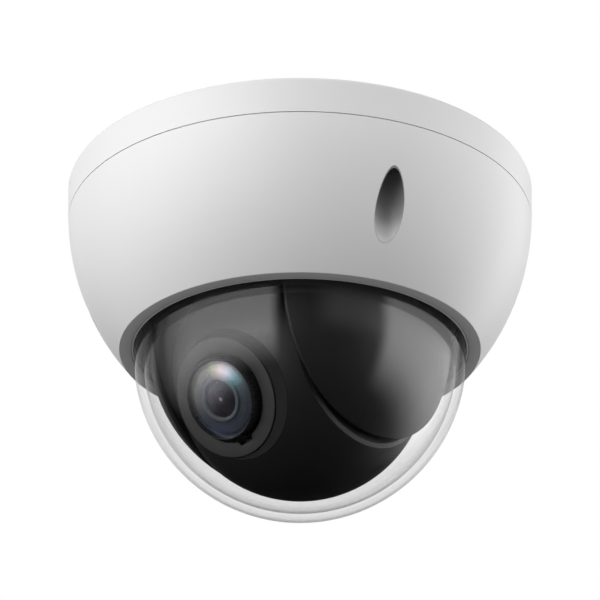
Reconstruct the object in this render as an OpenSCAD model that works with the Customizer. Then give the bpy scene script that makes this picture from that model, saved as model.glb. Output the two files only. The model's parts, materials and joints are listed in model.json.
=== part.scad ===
// Ceiling-mounted pan-tilt dome camera.
// The origin is the centre of the ceiling face, +Z points up into the ceiling and the front is -Y.
// Left and right of the pan unit and the head are as the camera itself looks out.

/* [Housing] */
// Radius of the base where it meets the ceiling
housing_r = 61; // [60:0.25:64]
// Height of the base's visible band
base_h = 9.5; // [9.5:0.5:12]
// How far the base band narrows towards the seam
base_draft = 0.35; // [0:0.05:0.5]
// Radius of the cover's bulging outline, seen from the side
cover_bulge_r = 63; // [58:1:75]
// Wall thickness of the cover
cover_wall = 2.6; // [2.2:0.1:3]
// Floor thickness of the base
base_floor = 3; // [2.5:0.25:3.2]
// Edge rounding where the base meets the ceiling
base_edge = 0.8; // [0.4:0.1:1.2]
// Dark line between the base and the cover
seam_gap = 0.25; // [0.15:0.05:0.35]

/* [Dome] */
// How much smaller the clear dome's radius is than the housing's
dome_inset = 18.5; // [17.5:0.25:19]
// Wall thickness of the clear dome
dome_wall = 2.3; // [1.8:0.1:2.5]
// How far the dome's equator lies below the trim ring's face
dome_drop = 0.8; // [0:0.1:2]
// Width of the grey trim ring round the dome
trim_w = 3.35; // [3:0.05:4]
// Thickness of the trim ring
trim_t = 1.2; // [1:0.1:1.6]
// Thin edge of the cover left outside the trim ring
mouth_edge = 0.3; // [0.2:0.05:0.5]
// Thickness of the cover's lip that carries the dome
lip_t = 1.8; // [1.5:0.1:2.2]
// Thickness of the dome's seal
dome_seal_t = 1; // [0.8:0.1:1.2]
// Width of the dome's flange
flange_w = 2.1; // [1.8:0.1:2.3]
// Thickness of the dome's flange
flange_t = 2; // [1.6:0.1:2.2]
// Thickness of the ring that clamps the flange
retainer_t = 1.6; // [1.2:0.1:2]

/* [Cover screws] */
// Angle of the first screw pocket, from +X towards +Y
screw_angle = -67; // [-80:1:-55]
// How far the screw pockets' centres lie inside the housing's radius
screw_inset = 5.8; // [5.4:0.1:6.4]
// Radius of a screw pocket
pocket_r = 3.55; // [3.4:0.05:3.8]
// Depth of the pocket's floor below the ceiling
pocket_floor = 17; // [15:0.5:19]
// Radius of a cover screw's shank
cover_screw_r = 1.95; // [1.5:0.05:2]
// Radius of a cover screw's head
cover_screw_head_r = 3.2; // [2.8:0.1:3.3]

/* [Mounting] */
// How far the mounting holes lie inside the housing's radius
mount_inset = 11; // [10.5:0.5:12]
// Radius of a mounting hole
mount_hole_r = 2.4; // [2:0.1:2.75]
// Radius of the cable inlet's bore
inlet_r = 3.5; // [2.5:0.25:4]

/* [Pan unit] */
// Angle of the camera's viewing direction at rest, from the front towards -X
pan_rest = 42; // [0:1:90]
// Gap between the pan unit's round body and the dome
pan_gap = 1.5; // [1.3:0.1:2]
// Height of the body's centre above the trim ring's face
pan_rise = 2.4; // [1.5:0.1:3.5]
// Wall thickness of the ear covers
ear_wall = 1.6; // [1.3:0.1:1.7]
// Rounding along the edge of the ear covers
ear_edge = 0.7; // [0.4:0.1:1]
// Gap between the head's side and the ear covers
slot_gap = 0.8; // [0.6:0.1:1]
// Thickness of the arms that carry the head
arm_t = 2; // [1.6:0.1:2.2]
// Thickness of the turntable
turntable_t = 2; // [1.6:0.1:2.2]
// Teeth on the pan gear
pan_teeth = 84; // [80:1:88]
// Teeth on the pan motor's pinion
pan_pinion_teeth = 12; // [12:1:14]

/* [Head] */
// Downward tilt of the lens at rest
tilt_rest = 30; // [0:1:90]
// Depth of the tilt axis below the trim ring's face
tilt_drop = 5.5; // [5:0.1:6]
// How much smaller the head's radius is than the pan unit's
head_inset = 6; // [5.7:0.1:6.4]
// Gap between the head and the turntable above it
head_room = 1.3; // [1.2:0.1:2]
// Half the head's width
head_half_w = 21.2; // [21:0.1:21.4]
// Bevel along the head's side edges
head_edge = 1.6; // [1:0.1:2]
// Wall thickness of the head's shells
head_wall = 1.8; // [1.5:0.1:2]
// How far the head's front is flattened
front_cut = 4.4; // [4.3:0.1:4.7]
// Teeth on the tilt gear
tilt_teeth = 48; // [46:1:48]
// Teeth on the tilt motor's pinion
tilt_pinion_teeth = 12; // [12:1:13]
// Module of the tilt gears
tilt_module = 0.6; // [0.59:0.005:0.61]
// Radius of the tilt shafts
tilt_shaft_r = 3; // [2.5:0.1:3.2]

/* [Lens] */
// Sideways offset of the lens in the head
lens_side = -2.6; // [-3:0.1:0]
// Outer radius of the flat grey bezel
bezel_r = 15.25; // [15:0.05:15.4]
// Radius of the bezel's opening
bezel_hole_r = 11.65; // [11.4:0.05:11.9]
// Thickness of the bezel
bezel_t = 1.6; // [1.4:0.1:1.8]
// Outer radius of the lens barrel
barrel_r = 10.4; // [10.2:0.1:10.6]
// How far the barrel stands out from the bezel
barrel_out = 3; // [2:0.1:3.2]
// Radius of the front glass
front_glass_r = 9.9; // [9.6:0.05:9.95]
// Radius of the inner lens
inner_lens_r = 5.2; // [4.8:0.1:5.4]
// Travel of the zoom lens group
zoom_travel = 6; // [4:0.5:6]
// Travel of the focus lens group
focus_travel = 3; // [2:0.5:3]

/* [Hidden] */
$fn = 96;

fit = 0.15;          // clearance between parts that are fitted together
press = 0.02;        // clearance of a part pushed into its seat
running = 0.05;      // radial clearance of a shaft in its bush
far = 200;           // larger than the whole camera

// Main radii, one inside the other
dome_r = housing_r - dome_inset;
dome_inner_r = dome_r - dome_wall;
pan_r = dome_inner_r - pan_gap;
head_r = pan_r - head_inset;
front_x = head_r - front_cut;
screw_pcr = housing_r - screw_inset;
mount_pcr = housing_r - mount_inset;

// Heights, all measured downwards from the ceiling as negative Z
post_h = 6.5;
chassis_z = -base_floor - post_h;
chassis_t = 2;
chassis_under = chassis_z - chassis_t;
bearing_h = 3.5;
bearing_bottom = chassis_under - bearing_h;
turntable_top = bearing_bottom - 0.4;
turntable_under = turntable_top - turntable_t;
tilt_z = turntable_under - head_room - head_r;
ring_z = tilt_z + tilt_drop;
seam_z = -base_h;
cover_top_z = seam_z - seam_gap;
dome_z = ring_z - dome_drop;
lip_z = ring_z + trim_t;
seal_z = lip_z + lip_t;
flange_z = seal_z + dome_seal_t;
shelf_z = flange_z + flange_t;
pan_z = ring_z + pan_rise;

// Housing
seam_r = housing_r - base_draft;
trim_r = dome_r + fit + trim_w;
mouth_r = trim_r + mouth_edge;
chord = [mouth_r - seam_r, ring_z - seam_z];
chord_len = norm(chord);
chord_normal = [chord[1], -chord[0]] / chord_len;
bulge_c = [seam_r, seam_z] + chord / 2
    + chord_normal * sqrt(pow(cover_bulge_r, 2) - pow(chord_len / 2, 2));
function cover_r_at(z, inset = 0) =
    bulge_c[0] + sqrt(pow(cover_bulge_r - inset, 2) - pow(z - bulge_c[1], 2));
register_h = 3;
register_t = 2.2;
register_r = cover_r_at(seam_z - register_h, cover_wall) - fit;
seal_groove = 0.8;
seal_w = 1.6;
seal_r = seam_r - 0.65;
boss_r = pocket_r + 1.85;
flange_r = dome_r + flange_w;
retainer_r = cover_r_at(shelf_z, cover_wall) - 0.3;
retainer_screw_pcr = (flange_r + retainer_r) / 2 + 0.15;
retainer_screws_n = 6;
retainer_angle = screw_angle + 30;
retainer_screw_l = 4.5;
retainer_screw_head_r = 1.4;
retainer_screw_head_h = 1.1;
mount_angle = screw_angle + 60;
gland_r = inlet_r + 3;
gland_head_r = inlet_r + 4.6;
gland_head_t = 1;
gland_lip_r = inlet_r + 4.2;
gland_lip_t = 2;
gland_sink = 0.2;
cover_screw_l = 12.5;
cover_screw_head_h = 2.4;

// Screw shanks and the depth of the holes they cut into
tap = 0.02;
chassis_screw_r = 1.2;
board_screw_r = 0.9;
retainer_screw_r = 0.8;
motor_screw_r = 0.7;
arm_screw_r = 0.6;
clear_hole = 0.2;

// Chassis and board
chassis_r = screw_pcr - boss_r - 1;
chassis_pcr = chassis_r - 4.8;
chassis_screw_angle = screw_angle + 40;
chassis_screw_l = 6.5;
chassis_screw_head_r = 2.2;
chassis_screw_head_h = 0.8;
board_z = -base_floor - 1.6;
board_t = 1.6;
board_under = board_z - board_t;
board_r = chassis_pcr - 4;
board_pcr = board_r - 6;
board_screw_angle = screw_angle + 20;
board_screw_l = 3.4;
board_screw_head_r = 1.7;
board_screw_head_h = 1;
board_post_r = 2;
board_post_top = -2;
hub_post_r = 11;
processor_w = 14;
processor_t = 1.4;
processor_inset = 22;
processor_in = board_r - processor_inset;
card_slot_w = 12;
card_slot_l = 14.6;
card_slot_t = 1.8;
card_slot_lip = 0.6;
card_slot_side = 3;
header_w = 10;
header_l = 6;
header_t = 3;
header_inset = 20;
header_in = board_r - header_inset;
header_wall = 1;
post_r = 3;
post_hole_top = -4;
button_r = 1.5;
button_h = 1.9;
button_travel = 0.25;
access_angle = screw_angle + 210;
access_w = 20;
access_in = board_r - 12;

// Pan bearing and drive
bearing_r = 20;
bearing_hole_r = 14;
hub_wall = 2;
hub_r = bearing_hole_r - hub_wall;
hub_nut_t = 1.8;
hub_nut_r = bearing_hole_r + 1.8;
bearing_wall = 1.5;
bearing_shoulder = 1.6;
ball_r = 1.3;
ball_pcr = (bearing_r + bearing_hole_r) / 2;
balls_n = 18;
turntable_r = pan_r - 0.7;
pan_gear_t = 3;
pan_centre = chassis_pcr + 1.6;
pan_module = 2 * pan_centre / (pan_teeth + pan_pinion_teeth);
pan_motor_angle = screw_angle + 90;
pan_motor_r = 6;
pan_motor_h = 10.4;
motor_flange_t = 0.8;
pan_flange_z = turntable_top - 0.4;
motor_screw_w = 8.5;
motor_screw_x = pan_centre + 1.5;
motor_screw_l = 3.4;
motor_screw_head_r = 1.4;
motor_screw_head_h = 1;
motor_post_r = 1.9;
motor_edge = 2;
pan_flange_w = 7.5;
pan_flange_in = 4;
pan_pad_w = 22;
pan_pad_l = 16;
pan_pad_in = 12;
pinion_shaft_r = 1;
gear_rim = 5.76;
gear_hole_r = pan_module * (pan_teeth / 2 - 1.2) - gear_rim;
stop_pcr = gear_hole_r - 5;
fixed_stop_r = 1.2;
moving_stop_r = 1;

// Pan unit
slot_half = head_half_w + slot_gap;
arm_gap = 0.2;
arm_in = slot_half + arm_gap;
arm_screw_x = 9;
arm_screw_bite = 4.5;
arm_screw_head_r = 1.3;
arm_screw_head_h = 0.9;
arm_out = arm_in + arm_t;
arm_r = sqrt(pow(pan_r - ear_wall, 2) - pow(arm_out, 2)) - fit;
bush_r = 5;
bush_flange_t = 0.8;
bush_flange_w = 1.5;
tilt_centre = tilt_module * (tilt_teeth + tilt_pinion_teeth) / 2;
tilt_gear_in = arm_out + bush_flange_t + 0.2;
tilt_gear_t = 2.2;
tilt_flange_y = tilt_gear_in + tilt_gear_t + 0.6;
tilt_motor_r = 7;
tilt_motor_h = sqrt(pow(pan_r - ear_wall, 2) - pow(tilt_motor_r, 2)) - tilt_flange_y - motor_flange_t - 0.6;
tilt_motor_w = 9;
tilt_flange_w = 6;
tilt_post_r = 1.6;

// Head, in its own frame: X along the lens, Y to its left, Z up, from the tilt axis
inner_r = head_r - head_wall;
inner_half = head_half_w - head_wall;
shaft_collar_w = 3;
shaft_collar_t = 1.2;
shaft_wall = 1.1;
gear_window_pcr = 8.2;
gear_window_r = 2.4;
inner_front = front_x - 2.9;
cap_angle = 110;
cap_cut = 14;
bezel_x = front_x - 1.3;
bezel_face = bezel_x + bezel_t;
barrel_face = bezel_face + barrel_out;
glass_seat = 1.8;
front_glass_crown = 2;
shell_hole_r = bezel_hole_r + 0.25;
block_w = 26;
block_t = 2.5;
block_side_t = 1.6;
block_side_w = 6;
block_window_r = 3.6;
block_len = 29.4;
block_back = inner_front - block_len;
plate_reach = sqrt(pow(inner_r, 2) - pow(inner_front, 2)) - 0.3;
iris_r = 9.1;
iris_hole_r = 2.4;
iris_t = 0.6;
foot_w = 2;
foot_off = 10;
sensor_board_w = 24;
sensor_board_t = 1;
rail_w = 1;
rod_off = 8;
rod_r = 1;
screw_r = 0.7;
nut_arm_r = 1.5;
lens_motor_r = 3.2;
lens_motor_h = 10;
carriage_bore = 5;
sleeve_wall = 0.9;
carriage_r = 7.5;
zoom_x = block_back + lens_motor_h + 2 + zoom_travel / 2;
zoom_len = 6;
focus_x = block_back + 3.5 + focus_travel / 2;
focus_len = 4.5;
filter_x = block_back - block_t;
filter_t = 0.7;
filter_w = 9;
filter_travel = 8;
sensor_x = filter_x - 1.1;
sensor_foot_t = 0.6;
sensor_w = 8;
sensor_h = 6;
sensor_t = 0.55;

// ---------- shared forms ----------

module tube(outer, inner, z_from, z_to) {
    translate([0, 0, min(z_from, z_to)])
        difference() {
            cylinder(r = outer, h = abs(z_to - z_from));
            translate([0, 0, -1]) cylinder(r = inner, h = abs(z_to - z_from) + 2);
        }
}

module rod(r, z_from, z_to) {
    translate([0, 0, min(z_from, z_to)]) cylinder(r = r, h = abs(z_to - z_from));
}

module at_angle(angle, distance) {
    rotate(angle) translate([distance, 0, 0]) children();
}

module thirds(first, distance) {
    for (i = [0:2]) at_angle(first + i * 120, distance) children();
}

// Screw standing on z = 0 with its shank down -Z and its head up +Z
module pan_head_screw(shank_r, shank_l, head_r, head_h) {
    rod(shank_r, -shank_l, 0);
    difference() {
        rod(head_r, 0, head_h);
        translate([0, 0, head_h * 0.45]) cylinder(r = head_r * 0.5, h = head_h, $fn = 6);
    }
}

// Involute gear outline; the first tooth points along +X
function inv_angle(base, r) =
    let (t = sqrt(max(0, pow(r / base, 2) - 1))) t * 180 / PI - atan(t);
function polar(r, a) = [r * cos(a), r * sin(a)];

module gear_outline(m, n, pressure = 25, slack = 0.05, steps = 3) {
    pitch = m * n / 2;
    base = pitch * cos(pressure);
    tip = pitch + 0.95 * m;
    root = pitch - 1.2 * m;
    start = max(base, root + 0.02);
    half = 90 / n - slack / pitch * 180 / PI / 2 + inv_angle(base, pitch);
    radii = [for (i = [0:steps]) start + (tip - start) * i / steps];
    polygon([for (k = [0:n - 1]) let (c = 360 * k / n) each concat(
        [polar(root, c - half + inv_angle(base, start))],
        [for (r = radii) polar(r, c - half + inv_angle(base, r))],
        [for (i = [steps:-1:0]) polar(radii[i], c + half - inv_angle(base, radii[i]))],
        [polar(root, c + half - inv_angle(base, start))])]);
}

// Ball of radius r cut flat at +-half across its width, with bevelled edges; its poles turn away
// from the top by turn
module cut_ball(r, half, edge, turn = 0) {
    corner_r = sqrt(pow(r - edge, 2) - pow(half - edge, 2));
    bevel_r = corner_r * r / (r - edge);
    bevel_half = (half - edge) * r / (r - edge);
    middle_r = corner_r + half * (bevel_r - corner_r) / (half - bevel_half);
    intersection() {
        rotate([turn, 0, 0]) sphere(r, $fn = 128);
        for (side = [-90, 90]) rotate([side, 0, 0]) cylinder(r1 = middle_r, r2 = corner_r, h = half);
    }
}

// Frames of the pan unit and of the head
module pan_frame() {
    rotate(-90 - pan_rest) children();
}

module pan_side(side) {
    pan_frame() if (side > 0) children(); else mirror([0, 1, 0]) children();
}

module head_frame() {
    pan_frame() translate([0, 0, tilt_z]) rotate([0, tilt_rest, 0]) children();
}

// Turns +Z onto the lens axis
module lens_frame() {
    head_frame() translate([0, lens_side, 0]) rotate([0, 90, 0]) children();
}

// ---------- housing ----------

module cover_outline(inset) {
    intersection() {
        translate(bulge_c) circle(cover_bulge_r - inset, $fn = 256);
        translate([0, ring_z]) square([far, cover_top_z - ring_z]);
    }
}

module base() {
    color([0.93, 0.93, 0.93]) difference() {
        union() {
            rotate_extrude($fn = 180) polygon([[0, 0], [housing_r - base_edge, 0],
                [housing_r - base_edge * 0.3, -base_edge * 0.3], [housing_r, -base_edge],
                [seam_r, seam_z], [register_r, seam_z], [register_r, seam_z - register_h],
                [register_r - register_t, seam_z - register_h], [register_r - register_t, -base_floor],
                [0, -base_floor]]);
            intersection() {
                thirds(screw_angle, screw_pcr) rod(boss_r, seam_z, -1);
                rod(seam_r - 0.2, seam_z, 0);
            }
            thirds(chassis_screw_angle, chassis_pcr) rod(post_r, chassis_z, -1);
            thirds(board_screw_angle, board_pcr) rod(board_post_r, board_z, -1);
            rod(hub_post_r, board_z, -1);
        }
        tube(seal_r, seal_r - seal_w, seam_z + seal_groove, seam_z - 1);
        // room for the cover's screw bosses below the seam
        thirds(screw_angle, screw_pcr) rod(boss_r + 0.4, seam_z - 0.01, -far);
        thirds(screw_angle, screw_pcr) rod(cover_screw_r + press, post_hole_top, -far);
        thirds(chassis_screw_angle, chassis_pcr) rod(chassis_screw_r + tap, post_hole_top, -far);
        thirds(board_screw_angle, board_pcr) rod(board_screw_r + tap, board_post_top, -far);
        thirds(mount_angle, mount_pcr) rod(mount_hole_r, 1, -far);
        rod(gland_r, 1, -far);
        rod(gland_head_r, 1, -gland_sink - gland_head_t);
    }
}

module base_seal() {
    color([0.08, 0.08, 0.08])
        tube(seal_r - press, seal_r - seal_w + press, seam_z + seal_groove, cover_top_z);
}

module cable_gland() {
    color([0.07, 0.07, 0.07]) difference() {
        union() {
            rod(gland_r - press, -gland_sink, board_z - gland_lip_t);
            rod(gland_head_r - press, -gland_sink, -gland_sink - gland_head_t);
            rod(gland_lip_r, board_z - running, board_z - gland_lip_t);
        }
        rod(inlet_r, 1, -far);
    }
}

module cover() {
    color([0.95, 0.95, 0.95]) difference() {
        union() {
            rotate_extrude($fn = 180) difference() {
                cover_outline(0);
                intersection() {
                    cover_outline(cover_wall);
                    translate([0, shelf_z]) square([far, far]);
                }
                translate([0, seal_z]) square([flange_r + fit, far]);
                translate([0, ring_z - 1]) square([dome_r + fit, far]);
                translate([0, ring_z - 1]) square([trim_r + press * 2, trim_t + 1]);
            }
            intersection() {
                thirds(screw_angle, screw_pcr) rod(boss_r, cover_top_z - 0.1, ring_z);
                rotate_extrude($fn = 180) cover_outline(0);
                rod(far, cover_top_z, shelf_z);
            }
        }
        thirds(screw_angle, screw_pcr) {
            rod(pocket_r, -pocket_floor, -far);
            rod(cover_screw_r + 0.25, 0, -far);
        }
        for (i = [0:retainer_screws_n - 1])
            at_angle(retainer_angle + i * 60, retainer_screw_pcr)
                rod(retainer_screw_r + tap, shelf_z - retainer_screw_l + retainer_t - 0.5, shelf_z + 1);
    }
}

module cover_screws() {
    color([0.72, 0.73, 0.75])
        thirds(screw_angle, screw_pcr) translate([0, 0, -pocket_floor]) mirror([0, 0, 1])
            pan_head_screw(cover_screw_r, cover_screw_l, cover_screw_head_r, cover_screw_head_h);
}

module trim_ring() {
    color([0.36, 0.37, 0.38]) tube(trim_r, dome_r + fit, ring_z, lip_z);
}

module dome_seal() {
    color([0.06, 0.06, 0.06]) tube(flange_r, dome_r + fit / 2, seal_z, flange_z);
}

module dome() {
    color([0.85, 0.88, 0.9, 0.3]) rotate_extrude($fn = 180) difference() {
        union() {
            intersection() {
                translate([0, dome_z]) circle(dome_r, $fn = 256);
                translate([0, dome_z - far]) square([far, far]);
            }
            translate([0, dome_z]) square([dome_r, shelf_z - dome_z]);
            translate([0, flange_z]) square([flange_r, flange_t]);
        }
        translate([0, dome_z]) circle(dome_inner_r, $fn = 256);
        translate([0, dome_z]) square([dome_inner_r, far]);
    }
}

module dome_retainer() {
    color([0.1, 0.1, 0.1]) difference() {
        tube(retainer_r, dome_inner_r + 0.2, shelf_z, shelf_z + retainer_t);
        for (i = [0:retainer_screws_n - 1])
            at_angle(retainer_angle + i * 60, retainer_screw_pcr)
                rod(retainer_screw_r + clear_hole, -far, 0);
        // flats beside the cover's screw bosses
        thirds(screw_angle, screw_pcr) rod(boss_r + 0.3, -far, 0);
    }
}

module retainer_screws() {
    color([0.6, 0.6, 0.62]) for (i = [0:retainer_screws_n - 1])
        at_angle(retainer_angle + i * 60, retainer_screw_pcr)
            translate([0, 0, shelf_z + retainer_t]) 
                pan_head_screw(retainer_screw_r, retainer_screw_l,
                    retainer_screw_head_r, retainer_screw_head_h, $fn = 24);
}

// ---------- chassis, board and pan drive ----------

module chassis() {
    color([0.2, 0.2, 0.21]) difference() {
        union() {
            rod(chassis_r, chassis_under, chassis_z);
            rotate(pan_motor_angle) {
                translate([pan_centre - pan_pad_in, -pan_pad_w / 2, chassis_under])
                    cube([pan_pad_l, pan_pad_w, chassis_t]);
                for (s = [-1, 1]) translate([motor_screw_x, s * motor_screw_w, 0])
                    rod(motor_post_r, pan_flange_z, chassis_z);
            }
            rod(bearing_r + bearing_wall, bearing_bottom + 0.2, chassis_z);
            at_angle(-90 - pan_rest, stop_pcr) rod(fixed_stop_r, chassis_z, turntable_top + 0.4);
        }
        rod(ball_pcr + 0.5, -far, 0);
        rod(bearing_r + press, chassis_under, -far);
        thirds(chassis_screw_angle, chassis_pcr) rod(chassis_screw_r + clear_hole, -far, 0);
        thirds(mount_angle, mount_pcr) rod(mount_hole_r + 2.4, -far, 0);
        rotate(access_angle) translate([access_in, -access_w / 2, -far]) cube([far, access_w, far]);
        rotate(pan_motor_angle) for (s = [-1, 1]) translate([motor_screw_x, s * motor_screw_w, 0])
            rod(motor_screw_r + tap, pan_flange_z - 1, pan_flange_z + motor_screw_l + 0.6);
    }
}

module chassis_screws() {
    color([0.6, 0.6, 0.62]) thirds(chassis_screw_angle, chassis_pcr)
        translate([0, 0, chassis_under]) mirror([0, 0, 1]) 
            pan_head_screw(chassis_screw_r, chassis_screw_l,
                chassis_screw_head_r, chassis_screw_head_h, $fn = 24);
}

module main_board() {
    color([0.05, 0.28, 0.16]) difference() {
        tube(board_r, hub_post_r + 0.5, board_z, board_z - board_t);
        thirds(board_screw_angle, board_pcr) rod(board_screw_r + clear_hole, -far, 0);
    }
}

module processor() {
    color([0.12, 0.12, 0.13]) rotate(screw_angle)
        translate([processor_in, -processor_w / 2, board_under - processor_t])
            cube([processor_w, processor_w, processor_t]);
}

module card_slot() {
    color([0.7, 0.7, 0.7]) rotate(access_angle)
        translate([board_r - card_slot_l - 0.4, card_slot_side - card_slot_w,
            board_under - card_slot_t]) difference() {
            cube([card_slot_l, card_slot_w, card_slot_t]);
            translate([card_slot_l / 5, card_slot_lip, card_slot_t / 4])
                cube([card_slot_l, card_slot_w - 2 * card_slot_lip, card_slot_t / 2]);
        }
}

module plug_header() {
    color([0.9, 0.9, 0.86]) rotate(mount_angle)
        translate([header_in, -header_w / 2, board_under - header_t]) difference() {
            cube([header_l, header_w, header_t]);
            translate([header_wall, header_wall, -header_wall])
                cube([header_l - 2 * header_wall, header_w - 2 * header_wall, header_t]);
        }
}

module reset_button() {
    color([0.85, 0.4, 0.1]) at_angle(access_angle + 9, board_r - 4)
        rod(button_r, board_under - button_travel - press, board_under - button_travel - button_h);
}

module board_screws() {
    color([0.6, 0.6, 0.62]) thirds(board_screw_angle, board_pcr)
        translate([0, 0, board_under]) mirror([0, 0, 1]) 
            pan_head_screw(board_screw_r, board_screw_l, board_screw_head_r, board_screw_head_h, $fn = 24);
}

module race(outer, inner) {
    translate([0, 0, bearing_bottom]) rotate_extrude() difference() {
        translate([inner, 0]) square([outer - inner, bearing_h]);
        translate([ball_pcr, bearing_h / 2]) circle(ball_r + running, $fn = 48);
    }
}

module bearing_outer_ring() {
    color([0.75, 0.75, 0.77]) race(bearing_r, ball_pcr + 0.7);
}

module bearing_inner_ring() {
    color([0.75, 0.75, 0.77]) race(ball_pcr - 0.7, bearing_hole_r);
}

module bearing_balls() {
    color([0.85, 0.85, 0.87]) for (i = [0:balls_n - 1])
        at_angle(i * 360 / balls_n, ball_pcr) translate([0, 0, bearing_bottom + bearing_h / 2])
            sphere(ball_r, $fn = 32);
}

module pan_motor() {
    color([0.62, 0.63, 0.65]) at_angle(pan_motor_angle, pan_centre) {
        rod(pan_motor_r, pan_flange_z - motor_flange_t, pan_flange_z - motor_flange_t - pan_motor_h);
        difference() {
            translate([-pan_flange_in, -motor_screw_w - motor_edge, pan_flange_z - motor_flange_t])
                cube([pan_flange_w, 2 * (motor_screw_w + motor_edge), motor_flange_t]);
            for (s = [-1, 1]) translate([motor_screw_x - pan_centre, s * motor_screw_w, 0])
                rod(motor_screw_r + clear_hole, -far, 0);
            rod(pinion_shaft_r + running, -far, 0);
        }
    }
}

module pan_motor_screws() {
    color([0.6, 0.6, 0.62]) rotate(pan_motor_angle) for (s = [-1, 1])
        translate([motor_screw_x, s * motor_screw_w, pan_flange_z - motor_flange_t])
            mirror([0, 0, 1]) pan_head_screw(motor_screw_r, motor_screw_l, motor_screw_head_r,
                motor_screw_head_h, $fn = 24);
}

module pan_pinion() {
    color([0.88, 0.86, 0.78]) at_angle(pan_motor_angle, pan_centre) {
        translate([0, 0, turntable_top]) rotate(180 + 180 / pan_pinion_teeth)
            linear_extrude(pan_gear_t) gear_outline(pan_module, pan_pinion_teeth);
        rod(pinion_shaft_r, turntable_top + 1, pan_flange_z - motor_flange_t);
    }
}

// ---------- pan unit ----------

module turntable() {
    color([0.13, 0.13, 0.14]) difference() {
        union() {
            rod(turntable_r, turntable_under, turntable_top);
            rod(bearing_hole_r + bearing_shoulder, turntable_under, bearing_bottom);
            rod(bearing_hole_r - press, turntable_under, chassis_under);
            rod(hub_r, turntable_under, chassis_under + hub_nut_t + 0.4);
            at_angle(90 - pan_rest, stop_pcr) rod(moving_stop_r, turntable_under, chassis_under - 0.6);
        }
        rod(hub_r - hub_wall, -far, 0);
        pan_frame() for (s = [-1, 1], x = [-arm_screw_x, arm_screw_x])
            translate([x, s * (arm_in + arm_t / 2), 0]) rod(arm_screw_r + clear_hole, -far, 0);
    }
}

module hub_nut() {
    color([0.7, 0.7, 0.72]) difference() {
        rod(hub_nut_r, chassis_under, chassis_under + hub_nut_t);
        rod(hub_r + press, -far, 0);
        for (i = [0:3]) at_angle(i * 90, hub_nut_r) rod(1.2, -far, 0, $fn = 24);
    }
}

module pan_gear() {
    color([0.9, 0.89, 0.84]) difference() {
        rotate(pan_motor_angle) translate([0, 0, turntable_top]) linear_extrude(pan_gear_t)
            gear_outline(pan_module, pan_teeth);
        rod(gear_hole_r, -far, 0);
    }
}

// Everything of an arm and an ear cover is drawn for the left side and mirrored for the right
module arm_outline(r) {
    intersection() {
        union() {
            circle(r);
            translate([-r, 0]) square([2 * r, far]);
        }
        translate([-far / 2, -far]) square([far, far + turntable_under - pan_z]);
    }
}

// Stands an outline of X and Z up, with its thickness along Y from y_from to y_to
module upright(y_from, y_to) {
    translate([0, y_to, pan_z]) rotate([90, 0, 0]) linear_extrude(y_to - y_from) children();
}

module across(r, y_from, y_to) {
    translate([0, y_from, 0]) rotate([-90, 0, 0]) cylinder(r = r, h = y_to - y_from);
}

module arm(side) {
    color([0.1, 0.1, 0.11]) pan_side(side) difference() {
        union() {
            upright(arm_in, arm_out) arm_outline(arm_r);
            if (side < 0) for (x = [-tilt_motor_w, tilt_motor_w])
                translate([x, 0, tilt_z + tilt_centre]) across(tilt_post_r, arm_out,
                    tilt_flange_y);
        }
        translate([0, 0, tilt_z]) across(bush_r + press, 0, far);
        for (x = [-arm_screw_x, arm_screw_x]) translate([x, arm_in + arm_t / 2, 0])
            rod(arm_screw_r + tap, turntable_under - arm_screw_bite - 0.5, turntable_under + 1, $fn = 24);
    }
}

module left_arm() { arm(1); }

module right_arm() { arm(-1); }

module arm_screws() {
    color([0.6, 0.6, 0.62]) pan_frame() for (s = [-1, 1], x = [-arm_screw_x, arm_screw_x])
        translate([x, s * (arm_in + arm_t / 2), turntable_top])
            pan_head_screw(arm_screw_r, turntable_t + arm_screw_bite,
                arm_screw_head_r, arm_screw_head_h, $fn = 24);
}

// Half of the round body beyond the slot, with its rounded edge
module ear_solid(r, edge) {
    translate([0, 0, pan_z]) difference() {
        cut_ball_side(r, edge);
        translate([-far / 2, -far / 2, 0]) cube(far);
    }
    intersection() {
        rod(r, pan_z, turntable_under - 0.1);
        translate([-far / 2, slot_half, -far]) cube(far);
    }
}

// Ball of radius r beyond the slot's wall, revolved about the tilt direction
module cut_ball_side(r, edge) {
    cy = slot_half + edge;
    cx = sqrt(pow(r - edge, 2) - pow(cy, 2));
    rotate([-90, 0, 0]) rotate_extrude($fn = 128) {
        intersection() {
            circle(r);
            polygon([[0, 0], [far * cx, far * cy], [0, far * cy]]);
            translate([0, slot_half]) square(far);
        }
        translate([cx, cy]) circle(edge, $fn = 48);
        translate([0, slot_half]) square([cx, edge]);
    }
}

module ear_cover() {
    difference() {
        ear_solid(pan_r, ear_edge);
        intersection() {
            union() {
                translate([0, 0, pan_z]) sphere(pan_r - ear_wall, $fn = 128);
                rod(pan_r - ear_wall, pan_z, 0);
            }
            upright(slot_half - 1, far) arm_outline(arm_r + fit);
            rod(far, -far, turntable_under + 1);
        }
    }
}

module left_ear_cover() {
    color([0.04, 0.04, 0.045]) pan_side(1) ear_cover();
}

module right_ear_cover() {
    color([0.04, 0.04, 0.045]) pan_side(-1) ear_cover();
}

module tilt_bushes() {
    color([0.8, 0.68, 0.35]) for (side = [-1, 1]) pan_side(side) translate([0, 0, tilt_z]) difference() {
        union() {
            across(bush_r, head_half_w + 0.3, arm_out);
            across(bush_r + bush_flange_w, arm_out, arm_out + bush_flange_t);
        }
        across(tilt_shaft_r + running, 0, far);
    }
}

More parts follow.
